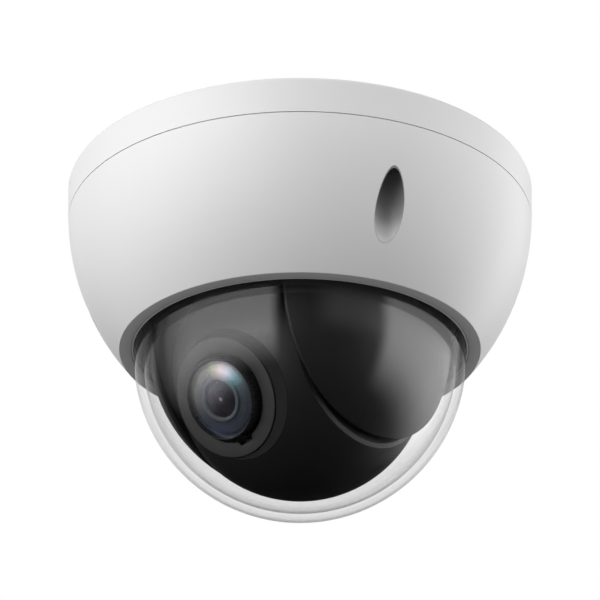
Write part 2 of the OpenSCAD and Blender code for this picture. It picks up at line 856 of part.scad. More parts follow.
module tilt_motor() {
    color([0.62, 0.63, 0.65]) pan_side(-1) translate([0, 0, tilt_z + tilt_centre]) difference() {
        union() {
            across(tilt_motor_r, tilt_flange_y, tilt_flange_y + motor_flange_t + tilt_motor_h);
            translate([-tilt_motor_w - motor_edge, tilt_flange_y, -tilt_flange_w / 2])
                cube([2 * (tilt_motor_w + motor_edge), motor_flange_t, tilt_flange_w]);
        }
        across(pinion_shaft_r + running, 0, tilt_flange_y + motor_flange_t + 1);
    }
}

module tilt_pinion() {
    color([0.88, 0.86, 0.78]) pan_side(-1) translate([0, 0, tilt_z + tilt_centre]) {
        translate([0, tilt_gear_in, 0]) rotate([-90, 0, 0]) linear_extrude(tilt_gear_t)
            rotate(90) gear_outline(tilt_module, tilt_pinion_teeth);
        across(pinion_shaft_r, tilt_gear_in + 0.5, tilt_flange_y + motor_flange_t + 1);
    }
}

// ---------- head ----------

// Everything beyond the plane where the cap is split off
module beyond_cap(offset) {
    rotate([0, 90 - cap_angle, 0]) translate([-far / 2, -far / 2, offset]) cube(far);
}

module head_hollow(turn = 0) {
    intersection() {
        rotate([turn, 0, 0]) sphere(inner_r, $fn = 128);
        translate([inner_front - far, -inner_half, -far / 2]) cube([far, 2 * inner_half, far]);
    }
}

module head_shell() {
    color([0.04, 0.04, 0.045]) difference() {
        head_frame() difference() {
            intersection() {
                cut_ball(head_r, head_half_w, head_edge);
                translate([front_x - far, -far / 2, -far / 2]) cube(far);
                beyond_cap(cap_cut - far);
            }
            head_hollow();
            across(tilt_shaft_r + press, -far, far);
        }
        lens_frame() {
            rod(shell_hole_r, 0, far);
            rod(bezel_r + fit, bezel_x, far);
        }
    }
}

module head_cap() {
    color([0.05, 0.05, 0.055]) head_frame() difference() {
        intersection() {
            cut_ball(head_r, head_half_w, head_edge, 90);
            beyond_cap(cap_cut + fit);
            translate([front_x - far, -far / 2, -far / 2]) cube(far);
        }
        head_hollow(90);
    }
}

module tilt_shaft(length) {
    difference() {
        union() {
            across(tilt_shaft_r, inner_half - shaft_collar_t, length);
            across(tilt_shaft_r + shaft_collar_w, inner_half - shaft_collar_t, inner_half);
        }
        across(tilt_shaft_r - shaft_wall, 0, far);
    }
}

module left_tilt_shaft() {
    color([0.7, 0.7, 0.72]) pan_side(1) translate([0, 0, tilt_z]) tilt_shaft(arm_out + bush_flange_t + 1);
}

module right_tilt_shaft() {
    color([0.7, 0.7, 0.72]) pan_side(-1) translate([0, 0, tilt_z])
        tilt_shaft(tilt_gear_in + tilt_gear_t + 0.3);
}

module tilt_gear() {
    color([0.9, 0.89, 0.84]) pan_side(-1) translate([0, tilt_gear_in, tilt_z]) rotate([-90, 0, 0])
        difference() {
            linear_extrude(tilt_gear_t) rotate(90 + 180 / tilt_teeth) gear_outline(tilt_module, tilt_teeth);
            rod(tilt_shaft_r + press, -1, far);
            for (i = [0:5]) at_angle(i * 60, gear_window_pcr) rod(gear_window_r, -1, far);
        }
}

// ---------- lens ----------

module lens_bezel() {
    color([0.33, 0.34, 0.35]) lens_frame() difference() {
        rod(bezel_r, bezel_x, bezel_face);
        rod(bezel_hole_r, 0, far);
        rotate(-48) translate([bezel_hole_r - 1, -1.5, 0]) cube([1.8, 3, far]);
    }
}

// Lens elements are drawn along +Z with their rim from z_from to z_to and a crown above it
module domed_lens(r, z_from, z_to, crown) {
    curve = (pow(r, 2) + pow(crown, 2)) / (2 * crown);
    rod(r, z_from, z_to);
    intersection() {
        translate([0, 0, z_to + crown - curve]) sphere(curve, $fn = 128);
        rod(r, z_to, z_to + crown);
    }
}

module lens_barrel() {
    seat = barrel_face - glass_seat;
    color([0.05, 0.05, 0.055]) lens_frame() rotate_extrude() polygon([
        [inner_lens_r + press, inner_front], [shell_hole_r - 0.3, inner_front],
        [shell_hole_r - 0.3, inner_front + 1.2], [barrel_r, inner_front + 1.2],
        [barrel_r, barrel_face - 0.3], [barrel_r - 0.3, barrel_face],
        [front_glass_r + press, barrel_face], [front_glass_r + press, seat],
        [front_glass_r - 1.2, seat], [front_glass_r - 1.2, seat - 0.8],
        [inner_lens_r + 0.5, inner_front + 2], [inner_lens_r + press, inner_front + 2]]);
}

module front_glass() {
    color([0.55, 0.6, 0.75, 0.5]) lens_frame()
        domed_lens(front_glass_r, barrel_face - glass_seat, barrel_face - 0.5, front_glass_crown);
}

module inner_lens() {
    color([0.5, 0.5, 0.7, 0.5]) lens_frame() domed_lens(inner_lens_r, inner_front, inner_front + 1.2, 0.9);
}

module iris() {
    color([0.03, 0.03, 0.03]) lens_frame() tube(iris_r, iris_hole_r, inner_front - iris_t, inner_front);
}

// Plate of the lens block, its corners cut round to pass inside the shell
module block_plate(x) {
    intersection() {
        translate([x, lens_side - block_w / 2, -block_w / 2]) cube([block_t, block_w, block_w]);
        rotate([0, 90, 0]) rod(plate_reach, -far, far);
    }
}

module lens_block() {
    color([0.15, 0.15, 0.16]) head_frame() difference() {
        union() {
            block_plate(inner_front - block_t);
            block_plate(filter_x);
            translate([0, lens_side, 0]) for (s = [-1, 1]) {
                translate([filter_x, s * (block_w - block_side_t) / 2 - block_side_t / 2,
                    -block_side_w / 2])
                    cube([inner_front - filter_x, block_side_t, block_side_w]);
                // rails of the day and night filter
                translate([filter_x - 0.9, -block_w / 2, s * (filter_w + rail_w + 0.2) / 2 - rail_w / 2])
                    cube([rail_w, block_w, rail_w]);
                // feet of the sensor board
                for (t = [-1, 1])
                    translate([sensor_x - sensor_foot_t, s * foot_off - foot_w / 2,
                        t * foot_off - foot_w / 2])
                        cube([filter_x - sensor_x + 0.7, foot_w, foot_w]);
            }
        }
        translate([0, lens_side, 0]) rotate([0, 90, 0]) {
            rod(iris_r + running, inner_front - block_t - 1, far);
            rod(block_window_r, -far, 0);
        }
    }
}

module along_lens(dy, dz) {
    lens_frame() translate([-dz, dy, 0]) children();
}

module guide_rods() {
    color([0.8, 0.8, 0.82]) for (s = [-1, 1]) along_lens(s * rod_off, s * rod_off)
        rod(rod_r, block_back, inner_front - block_t);
}

// A lens carrier with two sleeves on the guide rods and a nut on its screw
module carriage(x, length, screw_dy) {
    difference() {
        union() {
            lens_frame() rod(carriage_r, x, x + length);
            for (s = [-1, 1]) {
                along_lens(s * rod_off, s * rod_off) rod(rod_r + sleeve_wall, x, x + length);
                along_lens(s * rod_off * 0.75, s * rod_off * 0.75)
                    rod(rod_r + sleeve_wall - 0.1, x, x + length);
            }
            along_lens(screw_dy * rod_off, -screw_dy * rod_off) rod(screw_r + sleeve_wall, x, x + length);
            along_lens(screw_dy * rod_off * 0.75, -screw_dy * rod_off * 0.75) rod(nut_arm_r, x, x + length);
        }
        lens_frame() rod(carriage_bore + press, x - 1, x + length + 1);
        for (s = [-1, 1]) along_lens(s * rod_off, s * rod_off) rod(rod_r + running, x - 1, x + length + 1);
        along_lens(screw_dy * rod_off, -screw_dy * rod_off) rod(screw_r + running, x - 1, x + length + 1);
    }
}

module zoom_carriage() {
    color([0.12, 0.12, 0.13]) carriage(zoom_x, zoom_len, -1);
}

module focus_carriage() {
    color([0.12, 0.12, 0.13]) carriage(focus_x, focus_len, 1);
}

module zoom_lens() {
    color([0.5, 0.55, 0.7, 0.5]) lens_frame() domed_lens(carriage_bore, zoom_x + 1, zoom_x + 4, 0.8);
}

module focus_lens() {
    color([0.5, 0.55, 0.7, 0.5]) lens_frame() domed_lens(carriage_bore, focus_x + 0.5, focus_x + 3, 0.7);
}

module zoom_motor() {
    color([0.6, 0.61, 0.63]) along_lens(-rod_off, rod_off) difference() {
        rod(lens_motor_r, block_back, block_back + lens_motor_h);
        rod(screw_r + running, block_back + 1, far);
    }
}

module zoom_screw() {
    color([0.75, 0.75, 0.77]) along_lens(-rod_off, rod_off)
        rod(screw_r, block_back + 1.2, inner_front - block_t - 0.1);
}

module focus_motor() {
    color([0.6, 0.61, 0.63]) along_lens(rod_off, -rod_off) difference() {
        rod(lens_motor_r, inner_front - block_t - lens_motor_h, inner_front - block_t);
        rod(screw_r + running, -far, inner_front - block_t - 1);
    }
}

module focus_screw() {
    color([0.75, 0.75, 0.77]) along_lens(rod_off, -rod_off)
        rod(screw_r, block_back + 0.1, inner_front - block_t - 1.2);
}

module night_filter() {
    color([0.7, 0.4, 0.4, 0.7]) head_frame()
        translate([filter_x - 0.05 - filter_t, lens_side - filter_w / 2, -filter_w / 2])
            cube([filter_t, filter_w + filter_travel, filter_w]);
}

module sensor_board() {
    color([0.05, 0.28, 0.16]) head_frame()
        translate([sensor_x - sensor_foot_t - sensor_board_t, lens_side - sensor_board_w / 2,
            -sensor_board_w / 2])
            cube([sensor_board_t, sensor_board_w, sensor_board_w]);
}

module image_sensor() {
    color([0.25, 0.27, 0.35]) head_frame()
        translate([sensor_x - sensor_foot_t, lens_side - sensor_w / 2, -sensor_h / 2])
            cube([sensor_t, sensor_w, sensor_h]);
}

base();
base_seal();
cable_gland();
cover();
cover_screws();
trim_ring();
dome_seal();
dome();
dome_retainer();
retainer_screws();
chassis();
chassis_screws();
main_board();
processor();
card_slot();
plug_header();
reset_button();
board_screws();
bearing_outer_ring();
bearing_balls();
bearing_inner_ring();
pan_motor();
pan_motor_screws();
pan_pinion();
turntable();
hub_nut();
pan_gear();
left_arm();
right_arm();
arm_screws();
left_ear_cover();
right_ear_cover();
tilt_bushes();
tilt_motor();
tilt_pinion();
head_shell();
head_cap();
left_tilt_shaft();
right_tilt_shaft();
tilt_gear();
lens_bezel();
lens_barrel();
front_glass();
inner_lens();
iris();
lens_block();
guide_rods();
zoom_carriage();
zoom_lens();
zoom_motor();
zoom_screw();
focus_carriage();
focus_lens();
focus_motor();
focus_screw();
night_filter();
sensor_board();
image_sensor();
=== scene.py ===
import json
import math

import bmesh
import bpy
from mathutils import Matrix, Vector


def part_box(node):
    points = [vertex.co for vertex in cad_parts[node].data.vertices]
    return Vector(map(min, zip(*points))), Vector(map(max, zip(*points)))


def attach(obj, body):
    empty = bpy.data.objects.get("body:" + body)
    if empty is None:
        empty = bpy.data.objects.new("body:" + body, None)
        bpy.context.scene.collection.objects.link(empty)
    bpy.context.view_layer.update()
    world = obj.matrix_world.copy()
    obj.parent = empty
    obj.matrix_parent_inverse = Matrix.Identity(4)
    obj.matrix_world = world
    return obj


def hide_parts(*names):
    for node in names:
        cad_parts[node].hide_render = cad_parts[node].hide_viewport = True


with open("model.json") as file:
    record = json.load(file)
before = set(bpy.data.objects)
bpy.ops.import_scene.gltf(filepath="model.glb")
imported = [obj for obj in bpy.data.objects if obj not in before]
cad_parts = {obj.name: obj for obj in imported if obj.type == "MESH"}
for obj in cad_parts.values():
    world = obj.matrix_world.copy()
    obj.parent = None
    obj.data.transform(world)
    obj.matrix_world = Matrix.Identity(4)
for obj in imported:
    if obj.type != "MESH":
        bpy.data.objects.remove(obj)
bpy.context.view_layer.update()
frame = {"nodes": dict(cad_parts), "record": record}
print("frame loaded,", len(frame["nodes"]), "parts")


def rgb(red, green, blue):
    return (red, green, blue, 1)


class Wire:
    # a socket that adds, subtracts and multiplies like a number
    def __init__(self, shop, socket):
        self.shop = shop
        self.socket = socket

    def __add__(self, other):
        return self.shop.maths("ADD", self, other)

    def __sub__(self, other):
        return self.shop.maths("SUBTRACT", self, other)

    def __rsub__(self, other):
        return self.shop.maths("SUBTRACT", other, self)

    def __mul__(self, other):
        return self.shop.maths("MULTIPLY", self, other)


class Shop:
    # one material or world, whose nodes all come from node()
    def __init__(self, owner):
        owner.use_nodes = True
        self.tree = owner.node_tree
        self.tree.nodes.clear()

    def node(self, kind, settings=None, sockets=None, output=0):
        made = self.tree.nodes.new(kind)
        for key, value in (settings or {}).items():
            if key == "stops":
                ramp = made.color_ramp
                while len(ramp.elements) < len(value):
                    ramp.elements.new(1)
                for element, (place, colour) in zip(ramp.elements, value):
                    element.position = place
                    element.color = (*colour, 1)
            else:
                setattr(made, key, value)
        for key, value in (sockets or {}).items():
            if isinstance(value, Wire):
                self.tree.links.new(value.socket, made.inputs[key])
            else:
                made.inputs[key].default_value = value
        return None if output is None else Wire(self, made.outputs[output])

    def maths(self, operation, first, second=0.0):
        return self.node("ShaderNodeMath", {"operation": operation}, {0: first, 1: second})

    def vector(self, operation, first, second, output="Vector"):
        return self.node("ShaderNodeVectorMath", {"operation": operation}, {0: first, 1: second}, output)

    def dot(self, first, second):
        return self.vector("DOT_PRODUCT", first, second, "Value")

    def spot(self):
        return self.node("ShaderNodeTexCoord", output="Object")

    def grain(self, size, detail=3, stretch=(1, 1, 1)):
        # noise whose specks are size metres wide, drawn out along X, Y and Z
        scale = tuple(1 / part for part in stretch)
        place = self.node("ShaderNodeMapping", None, {"Vector": self.spot(), "Scale": scale})
        return self.node("ShaderNodeTexNoise", None, {"Vector": place, "Scale": 1 / size, "Detail": detail})

    def around(self, grain, middle, spread):
        # a value that wanders about its middle as the grain does
        return grain * spread + (middle - spread / 2)

    def mixColours(self, factor, first, second, blend="MIX"):
        return self.node("ShaderNodeMix", {"data_type": "RGBA", "blend_type": blend},
                         {0: factor, 6: first, 7: second}, output=2)

    def mottle(self, factor, colour, darker, lighter):
        # a colour that wanders between a darker and a lighter one
        dark, light = (rgb(*(min(1, part * shade) for part in colour)) for shade in (darker, lighter))
        return self.mixColours(factor, dark, light)

    def ramp(self, factor, stops):
        return self.node("ShaderNodeValToRGB", {"stops": stops}, {"Fac": factor})

    def greys(self, factor, stops):
        return self.ramp(factor, [(place, (level, level, level)) for place, level in stops])

    def bump(self, height, strength, depth):
        return self.node("ShaderNodeBump", None, {"Height": height, "Strength": strength, "Distance": depth})

    def surface(self, **sockets):
        names = {key.replace("_", " "): value for key, value in sockets.items()}
        return self.node("ShaderNodeBsdfPrincipled", None, names)

    def clear(self, colour):
        return self.node("ShaderNodeBsdfTransparent", None, {"Color": rgb(*colour)})

    def mixShaders(self, factor, first, second):
        return self.node("ShaderNodeMixShader", None, {0: factor, 1: first, 2: second})

    def glaze(self, body, mirror, colour, roughness):
        # a mirror over the body, stronger the flatter the surface is seen
        facing = self.node("ShaderNodeLayerWeight", None, {"Blend": 0.5}, "Facing")
        gloss = self.surface(Base_Color=rgb(*colour), Roughness=roughness, Metallic=1)
        return self.mixShaders(self.greys(facing, mirror), body, gloss)

    def finish(self, shader):
        isWorld = self.tree.id_data in list(bpy.data.worlds)
        self.node("ShaderNodeOutputWorld" if isWorld else "ShaderNodeOutputMaterial", None, {"Surface": shader}, None)


def startMaterial(name):
    material = bpy.data.materials.new(name)
    return material, Shop(material)


def dress(material, *nodes):
    for node in nodes:
        for slot in frame["nodes"][node].material_slots:
            slot.material = material


# away is metres from the middle of the ceiling side, below is degrees under level, and aim is a height
cameraValues = {"away": 0.69, "below": 28.535, "aim": -0.03052, "lens": 156.6, "sensor": 36}


def addCamera(values):
    data = bpy.data.cameras.new("camera")
    data.lens = values["lens"]
    data.sensor_width = values["sensor"]
    camera = bpy.data.objects.new("camera", data)
    tilt = math.radians(values["below"])
    camera.location = (0, -values["away"] * math.cos(tilt), -values["away"] * math.sin(tilt))
    aim = Vector((0, 0, values["aim"])) - camera.location
    camera.rotation_euler = aim.to_track_quat("-Z", "Y").to_euler()
    bpy.context.collection.objects.link(camera)
    bpy.context.scene.camera = camera


addCamera(cameraValues)
print("camera placed")


# a white surround with soft panels, and a floor under the hanging camera
studioValues = {
    "floorSize": 12, "floorBelow": 0.75, "floorShade": (0.8, 0.8, 0.8), "floorRoughness": 0.8,
    "ambient": 0.08,
    "underGlow": 0.19, "underGlowFrom": 10, "underGlowTo": 50,  # degrees under level
    # each panel: how much it lights, how bright it mirrors, then its middle, half width and soft edge
    # sideways from the front towards +X, and the same upwards, in degrees
    "panels": {
        "left": (2.9, 1.45, -51.5, 34.5, 10, 18, 34, 30),
        "leftEnd": (0, 1.15, -93, 7, 10, 18, 34, 30),
        "leftFade": (0, 0.6, -107, 7, 10, 18, 34, 30),
        "leftRim": (0, 0.7, -150, 26, 24, 28, 16, 14),
        "rightRim": (0, 0.5, 152, 24, 24, 28, 16, 14),
        "front": (0.75, 0.2, 40, 24, 22, 32, 32, 18),
        "right": (2.25, 1.65, 100, 39, 12, 10, 29, 38),
        "backLeft": (0.55, 0, -138, 42, 20, 15, 36, 20),
        "backRight": (0.6, 0, 152, 34, 16, 12, 38, 16),
    },
}


def softStep(shop, value, low, high):
    return shop.node("ShaderNodeMapRange", {"interpolation_type": "SMOOTHSTEP"},
                     {"Value": value, "From Min": low, "From Max": high})


def panelMask(shop, azimuth, height, middle, halfWidth, softSide, level, halfHeight, softUp):
    # turn the azimuth so that the panel's middle is 0 and the wrap lies behind it
    turned = shop.node("ShaderNodeMath", {"operation": "WRAP"}, {0: azimuth - middle, 1: 180, 2: -180})
    aside = shop.maths("ABSOLUTE", turned)
    above = shop.maths("ABSOLUTE", height - level)
    return (1 - softStep(shop, aside, halfWidth - softSide / 2, halfWidth + softSide / 2)) * \
           (1 - softStep(shop, above, halfHeight - softUp / 2, halfHeight + softUp / 2))


def addSurround(values):
    world = bpy.data.worlds.new("surround")
    bpy.context.scene.world = world
    shop = Shop(world)
    rays = {name: shop.node("ShaderNodeLightPath", output=name)
            for name in ("Is Camera Ray", "Diffuse Depth", "Glossy Depth")}
    direction = shop.node("ShaderNodeTexCoord", output="Generated")
    x, y, z = (shop.node("ShaderNodeSeparateXYZ", None, {0: direction}, axis) for axis in "XYZ")
    azimuth = shop.maths("ARCTAN2", x, 0 - y) * (180 / math.pi)
    height = shop.maths("ARCSINE", z) * (180 / math.pi)
    panels = mirrored = 0
    for strength, shine, *shape in values["panels"].values():
        mask = panelMask(shop, azimuth, height, *shape)
        panels = mask * strength + panels
        mirrored = mask * shine + mirrored
    below = softStep(shop, 0 - height, values["underGlowFrom"], values["underGlowTo"]) * values["underGlow"]
    # the camera sees white, a ray that has met only gloss sees the panels dimmed, all others see them whole
    shiny = shop.maths("MINIMUM", rays["Glossy Depth"], 1) * (1 - shop.maths("MINIMUM", rays["Diffuse Depth"], 1))
    hidden = mirrored * shiny + (panels + below + values["ambient"]) * (1 - shiny)
    strength = rays["Is Camera Ray"] + (1 - rays["Is Camera Ray"]) * hidden
    shop.finish(shop.node("ShaderNodeBackground", None, {"Color": rgb(1, 1, 1), "Strength": strength}))


def addFloor(values):
    mesh = bmesh.new()
    bmesh.ops.create_grid(mesh, x_segments=1, y_segments=1, size=values["floorSize"] / 2,
                          matrix=Matrix.Translation((0, 0, -values["floorBelow"])))
    data = bpy.data.meshes.new("floor")
    mesh.to_mesh(data)
    mesh.free()
    floor = bpy.data.objects.new("floor", data)
    bpy.context.collection.objects.link(floor)
    material, shop = startMaterial("paleFloor")
    shop.finish(shop.surface(Base_Color=rgb(*values["floorShade"]), Roughness=values["floorRoughness"]))
    data.materials.append(material)
    # the panels light the camera from below as well, so the floor only shows and takes the shadow
    floor.visible_diffuse = floor.visible_glossy = floor.visible_transmission = False


addSurround(studioValues)
addFloor(studioValues)
bpy.context.scene.view_settings.view_transform = "Standard"
print("studio lit")


# sprayed paint with a light peel, and painted shade that gets darker towards the deep end of each screw pocket
housingValues = {
    "paint": (0.82, 0.82, 0.82),
    "roughness": 0.4, "spread": 0.06, "patch": 0.012,
    "peel": 0.0011, "peelStrength": 0.05, "peelDepth": 0.0001,
    "cloud": 0.02, "cloudShades": [(0.3, 0.985), (0.7, 1)],
    # painted shade in the screw pockets: how far it reaches from each pocket's middle, the heights it runs between,
    # and its levels
    "pocketReach": 0.0037,
    "pocketDepths": (-0.038, -0.017),
    "pocketPaintedShade": [(0, 0.72), (0.16, 0.6), (0.3, 0.42), (0.48, 0.34), (0.66, 0.34), (1, 0.3)],
}


def dressHousing(values):
    material, shop = startMaterial("whitePaintAndPocketShade")
    spot = shop.spot()
    height = shop.node("ShaderNodeSeparateXYZ", None, {0: spot}, "Z")
    flat = shop.vector("MULTIPLY", spot, (1, 1, 0))
    nearest = 1.0  # metres to the nearest pocket's middle
    for opening in frame["record"]["physics"]["openings"]:
        low, high = (Vector(corner) for corner in opening["box_m"])
        middle = (low + high) / 2
        away = shop.vector("DISTANCE", flat, (middle.x, middle.y, 0), "Value")
        nearest = shop.maths("MINIMUM", away, nearest)
    inside = shop.maths("LESS_THAN", nearest, values["pocketReach"])
    deepest, highest = values["pocketDepths"]
    depth = shop.node("ShaderNodeMapRange", None, {"Value": height, "From Min": deepest, "From Max": highest})
    # painted shade: inside each screw pocket the colour darkens towards the deep end, standing in for the shade in the
    # recess
    shade = shop.mixColours(inside, rgb(1, 1, 1), shop.greys(depth, values["pocketPaintedShade"]))
    cloud = shop.greys(shop.grain(values["cloud"]), values["cloudShades"])
    base = shop.mixColours(1.0, shop.mixColours(1.0, shade, rgb(*values["paint"]), "MULTIPLY"), cloud, "MULTIPLY")
    peel = shop.grain(values["peel"], detail=2)
    shop.finish(shop.surface(Base_Color=base,
                             Roughness=shop.around(shop.grain(values["patch"]), values["roughness"], values["spread"]),
                             Normal=shop.bump(peel, values["peelStrength"], values["peelDepth"])))
    dress(material, "base", "cover")


dressHousing(housingValues)


# the clear shell lets light straight through and mirrors more of it the flatter it is seen
domeValues = {
    "mirror": [(0, 0.045), (0.4, 0.055), (0.57, 0.07), (0.69, 0.11), (0.79, 0.2), (0.85, 0.36), (0.894, 0.45),
               (1, 0.6)],
    "tint": (0.99, 0.99, 0.99), "shine": (1, 1, 1), "roughness": 0.015,
}


def dressDome(values):
    material, shop = startMaterial("clearDome")
    shop.finish(shop.glaze(shop.clear(values["tint"]), values["mirror"], values["shine"], values["roughness"]))
    dress(material, "dome")


dressDome(domeValues)


# each finish: colour, roughness and the parts that have it
plainValues = {
    "speck": 0.0015, "darker": 0.85, "lighter": 1.15, "spread": 0.1,
    "finishes": {
        "rubber": ((0.02, 0.02, 0.02), 0.7, "base_seal", "dome_seal", "cable_gland"),
        "blackPlastic": ((0.02, 0.02, 0.022), 0.5, "dome_retainer", "turntable", "left_arm", "right_arm",
                         "lens_block", "zoom_carriage", "focus_carriage", "iris"),
        "satinBlack": ((0.02, 0.02, 0.0205), 0.42, "left_ear_cover", "right_ear_cover"),
        "chassisBlack": ((0.05, 0.05, 0.055), 0.4, "chassis"),
        "ivoryPlastic": ((0.8, 0.78, 0.7), 0.5, "pan_gear", "tilt_gear", "pan_pinion", "tilt_pinion", "plug_header"),
        "chipBlack": ((0.03, 0.03, 0.035), 0.45, "processor", "image_sensor"),
        "buttonOrange": ((0.8, 0.28, 0.05), 0.3, "reset_button"),
    },
}


def dressPlain(values):
    for name, (colour, roughness, *nodes) in values["finishes"].items():
        material, shop = startMaterial(name)
        speck = shop.grain(values["speck"])
        shop.finish(shop.surface(Base_Color=shop.mottle(speck, colour, values["darker"], values["lighter"]),
                                 Roughness=shop.around(speck, roughness, values["spread"])))
        dress(material, *nodes)


dressPlain(plainValues)


# each finish: colour, roughness, how far the grain is drawn out along X, Y and Z, how strong it is, and the parts
metalValues = {
    "grain": 0.0003, "detail": 4, "stain": 0.004, "darker": 0.88, "lighter": 1.06, "spread": 0.16,
    "grainDepth": 0.00002,
    "finishes": {
        "platedSteel": ((0.62, 0.62, 0.64), 0.3, (1, 1, 1), 0.1, "cover_screws", "retainer_screws",
                        "chassis_screws", "board_screws", "pan_motor_screws", "arm_screws", "hub_nut"),
        "motorSteel": ((0.55, 0.56, 0.58), 0.35, (1, 1, 8), 0.25, "pan_motor", "tilt_motor", "zoom_motor",
                       "focus_motor", "card_slot"),
        "polishedSteel": ((0.72, 0.72, 0.74), 0.14, (1, 1, 1), 0.03, "bearing_outer_ring", "bearing_inner_ring",
                          "bearing_balls", "guide_rods", "zoom_screw", "focus_screw", "left_tilt_shaft",
                          "right_tilt_shaft"),
        "turnedBrass": ((0.78, 0.62, 0.3), 0.26, (1, 1, 1), 0.12, "tilt_bushes"),
    },
}


def dressMetal(values):
    for name, (colour, roughness, stretch, strength, *nodes) in values["finishes"].items():
        material, shop = startMaterial(name)
        grain = shop.grain(values["grain"], values["detail"], stretch)
        stain = shop.grain(values["stain"])
        shop.finish(shop.surface(Base_Color=shop.mottle(stain, colour, values["darker"], values["lighter"]),
                                 Roughness=shop.around(grain, roughness, values["spread"]), Metallic=1.0,
                                 Normal=shop.bump(grain, strength, values["grainDepth"])))
        dress(material, *nodes)


dressMetal(metalValues)


# green lacquer over copper tracks, with tinned pads
boardValues = {
    "lacquer": (0.012, 0.105, 0.05), "track": (0.04, 0.2, 0.085), "pad": (0.68, 0.66, 0.6),
    "cell": 0.0034, "cellJitter": 0.55, "tracksInCell": 4, "trackShare": 0.42,
    "pitch": 0.0021, "padJitter": 0.3, "padSize": 0.34, "padPatch": 0.009, "padFrom": 0.55,
    "roughness": 0.42, "padSmoother": 0.12, "relief": 0.25, "reliefDepth": 0.00002,
}


def dressBoard(values):
    material, shop = startMaterial("circuitBoard")
    spot = shop.spot()
    cells = shop.node("ShaderNodeTexVoronoi", {"distance": "MANHATTAN", "feature": "F1"},
                      {"Vector": spot, "Scale": 1 / values["cell"], "Randomness": values["cellJitter"]})
    track = shop.maths("LESS_THAN", shop.maths("FRACT", cells * values["tracksInCell"]), values["trackShare"])
    dots = shop.node("ShaderNodeTexVoronoi", {"distance": "CHEBYCHEV", "feature": "F1"},
                     {"Vector": spot, "Scale": 1 / values["pitch"], "Randomness": values["padJitter"]})
    chosen = shop.maths("GREATER_THAN", shop.grain(values["padPatch"]), values["padFrom"])
    pad = shop.maths("LESS_THAN", dots, values["padSize"] / 2) * chosen
    colour = shop.mixColours(track, rgb(*values["lacquer"]), rgb(*values["track"]))
    colour = shop.mixColours(pad, colour, rgb(*values["pad"]))
    shop.finish(shop.surface(Base_Color=colour, Roughness=values["roughness"] - pad * values["padSmoother"],
                             Metallic=pad, Normal=shop.bump(track + pad, values["relief"], values["reliefDepth"])))
    dress(material, "main_board", "sensor_board")


dressBoard(boardValues)


# the moving glasses inside the lens: colour and parts of each finish
insideGlassValues = {
    "refraction": 1.5,
    "finishes": {
        "groupGlass": ((0.9, 0.92, 1.0), "zoom_lens", "focus_lens"),
        "filterGlass": ((0.75, 0.45, 0.45), "night_filter"),
    },
}


def dressInsideGlass(values):
    for name, (colour, *nodes) in values["finishes"].items():
        material, shop = startMaterial(name)
        glass = shop.surface(Base_Color=rgb(*colour), Roughness=0.0, IOR=values["refraction"], Transmission_Weight=1.0)
        shadow = shop.node("ShaderNodeLightPath", output="Is Shadow Ray")
        shop.finish(shop.mixShaders(shadow, glass, shop.clear(colour)))
        dress(material, *nodes)


dressInsideGlass(insideGlassValues)
print("finishes on")


def middleOf(node):
    low, high = (Vector(corner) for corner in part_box(node))
    return (low + high) / 2


def jointNamed(name):
    return next(joint for joint in frame["record"]["behaviour"]["joints"] if joint["name"] == name)


def turnedFrame(middle, axis, aside):
    # X along aside, Z along the axis, so that a profile of radius and height turns about the axis
    axis, aside = Vector(axis).normalized(), Vector(aside).normalized()
    across = axis.cross(aside)
    return Matrix.Translation(middle) @ Matrix((aside, across, axis)).transposed().to_4x4()


def turn(profile, steps):
    # a profile that starts on the axis ends there too, and its poles are closed
    mesh = bmesh.new()
    corners = [mesh.verts.new((radius, 0, height)) for radius, height in profile]
    edges = [mesh.edges.new(pair) for pair in zip(corners, corners[1:])]
    if profile[0][0] > 0:
        edges.append(mesh.edges.new((corners[-1], corners[0])))
    bmesh.ops.spin(mesh, geom=corners + edges, cent=(0, 0, 0), axis=(0, 0, 1), dvec=(0, 0, 0),
                   angle=2 * math.pi, steps=steps, use_merge=True)
    bmesh.ops.remove_doubles(mesh, verts=mesh.verts, dist=1e-7)
    bmesh.ops.recalc_face_normals(mesh, faces=mesh.faces)
    return mesh


def soften(mesh, width, segments=3, sharper=30):
    # round the edges that turn by more than sharper degrees
    sharp = [edge for edge in mesh.edges
             if len(edge.link_faces) == 2 and edge.calc_face_angle() > math.radians(sharper)]
    bmesh.ops.bevel(mesh, geom=sharp, offset=width, offset_type="OFFSET", segments=segments, profile=0.5,
                    affect="EDGES", material=-1, clamp_overlap=True)


def addPiece(name, mesh, place, material, body, slot, *stoodFor):
    bmesh.ops.transform(mesh, matrix=place, verts=mesh.verts)
    for face in mesh.faces:
        face.smooth = True
    data = bpy.data.meshes.new(name)
    mesh.to_mesh(data)
    mesh.free()
    data.set_sharp_from_angle(angle=math.radians(40))  # faces that turn by less are shaded as one
    data.materials.append(material)
    piece = bpy.data.objects.new(name, data)
    bpy.context.collection.objects.link(piece)
    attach(piece, body)
    if stoodFor:
        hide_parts(*stoodFor)


# trim ring round the dome, with a fine groove and a raised inner lip
trimValues = {
    "outer": 0.0460, "inner": 0.04265, "thick": 0.0012,
    "lip": 0.0004, "groove": 0.00028, "grooveDeep": 0.0005, "edge": 0.00009, "steps": 180,
    "colour": (0.62, 0.62, 0.625), "darker": 0.93, "roughness": 0.47, "spread": 0.1,
    "fleck": 0.0005, "relief": 0.06, "reliefDepth": 0.00005,
}


def paintTrim(values):
    material, shop = startMaterial("satinTrim")
    fleck = shop.grain(values["fleck"])
    shop.finish(shop.surface(Base_Color=shop.mottle(fleck, values["colour"], values["darker"], 1),
                             Roughness=shop.around(fleck, values["roughness"], values["spread"]),
                             Normal=shop.bump(fleck, values["relief"], values["reliefDepth"])))
    return material


